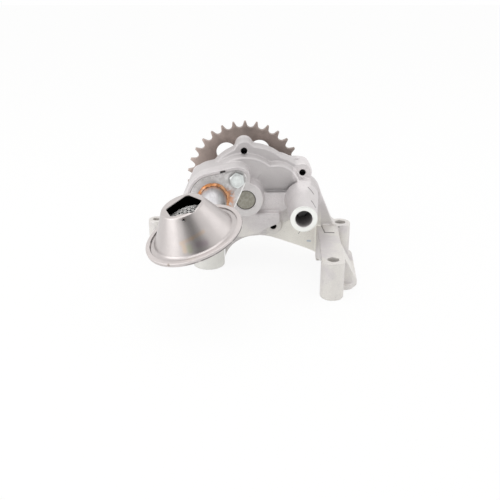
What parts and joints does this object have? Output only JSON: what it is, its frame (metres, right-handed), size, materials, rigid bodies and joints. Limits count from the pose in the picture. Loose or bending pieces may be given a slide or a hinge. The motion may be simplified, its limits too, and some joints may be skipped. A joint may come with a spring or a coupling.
{
  "type": "engine oil pump",
  "caption": "Chain-driven engine oil pump with an internal-gear rotor pair, relief valve, chain sprocket, suction tube and pick-up strainer in a cast housing with mounting feet.",
  "frame": {"origin": "centre of the outlet port's mouth, on the face that bolts to the engine block", "axes": "+Z away from the block face, +Y along the pump shaft towards the chain sprocket, +X to the right seen from the strainer side"},
  "size_m": [0.1713, 0.1871, 0.1095],
  "materials": {
    "cast_housing": "sand-cast and shot-blasted, satin, with fine pitting",
    "cast_cover": "die-cast, satin",
    "shaft_steel": "turned end face, dull grey-green phosphate",
    "key_steel": "ground",
    "rotor_steel": "sintered, ground faces",
    "sprocket_steel": "hardened and browned, satin",
    "zinc_plate": "bright zinc plate",
    "plunger_steel": "hardened and ground",
    "spring_steel": "oil-dark spring wire",
    "flange_plate": "pressed plate, heat-tinted round the joint",
    "suction_tube": "drawn tube, satin",
    "braze_metal": "copper braze with a flowed skin",
    "seal_rubber": "matte",
    "strainer_sheet": "spun sheet, satin, with a faint heat tint",
    "strainer_mesh": "woven wire"
  },
  "bodies": {
    "housing": {"pump_housing": "cast_housing", "rear_cover": "cast_cover", "cover_screws": "zinc_plate", "cover_dowels": "key_steel", "relief_spring": "spring_steel", "relief_spring_seat": "plunger_steel", "relief_circlip": "spring_steel", "suction_flange": "flange_plate", "suction_tube": "suction_tube", "flange_braze": "braze_metal", "suction_o_ring": "seal_rubber", "suction_bolts": "zinc_plate", "strainer_bell": "strainer_sheet", "strainer_screen": "strainer_mesh", "strainer_pan": "strainer_sheet", "pan_braze": "braze_metal", "outlet_o_ring": "seal_rubber"},
    "drive": {"drive_shaft": "shaft_steel", "rotor_key": "key_steel", "inner_rotor": "rotor_steel", "chain_sprocket": "sprocket_steel", "sprocket_washer": "zinc_plate", "sprocket_bolt": "zinc_plate"},
    "outer_rotor": {"outer_rotor": "rotor_steel"},
    "plunger": {"relief_plunger": "plunger_steel"}
  },
  "joints": [
    {"name": "drive_spin", "type": "hinge", "parent": "housing", "child": "drive", "pos_m": [0.0304, 0.0248, 0.0604], "axis": [0, 1, 0], "continuous": true},
    {"name": "outer_spin", "type": "hinge", "parent": "housing", "child": "outer_rotor", "pos_m": [0.0324, 0.0118, 0.0604], "axis": [0, 1, 0], "continuous": true},
    {"name": "relief_slide", "type": "slide", "parent": "housing", "child": "plunger", "axis": [0, -1, 0], "range_m": [0, 0.006], "stiffness_N_per_m": 2200, "springref_m": -0.004, "deforming": ["relief_spring"]}
  ],
  "couplings": [
    {"joint": "outer_spin", "follows": "drive_spin", "ratio": 0.85714}
  ]
}
